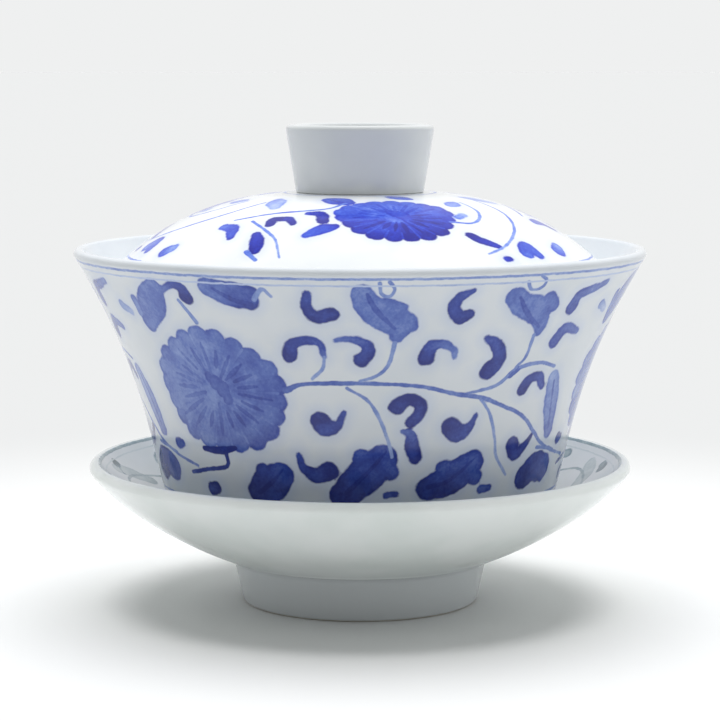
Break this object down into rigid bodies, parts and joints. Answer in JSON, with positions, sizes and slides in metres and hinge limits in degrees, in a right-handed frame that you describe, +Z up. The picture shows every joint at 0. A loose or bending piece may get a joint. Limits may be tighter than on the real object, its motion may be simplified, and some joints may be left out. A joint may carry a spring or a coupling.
{
  "type": "gaiwan",
  "caption": "Lidded porcelain tea bowl on a footed saucer, flared rim, domed lid with a hollow ring knob, painted with blue scrolling flowers.",
  "frame": {"origin": "on the table, at the centre of the saucer's foot ring", "axes": "+Z up along the common axis of saucer, bowl and lid"},
  "size_m": [0.1, 0.1, 0.084],
  "materials": {
    "painted_porcelain": "glossy clear glaze over cobalt painting",
    "plain_porcelain": "glossy clear glaze"
  },
  "bodies": {
    "saucer": {"saucer_dish": "painted_porcelain", "saucer_foot_ring": "plain_porcelain"},
    "bowl": {"bowl": "painted_porcelain"},
    "lid": {"lid_dome": "painted_porcelain", "lid_knob_ring": "plain_porcelain"}
  },
  "joints": [
    {"name": "bowl_lift", "type": "slide", "parent": "saucer", "child": "bowl", "axis": [0, 0, 1], "range_m": [0, 0.06]},
    {"name": "lid_lift", "type": "slide", "parent": "bowl", "child": "lid", "axis": [0, 0, 1], "range_m": [0, 0.045]}
  ]
}
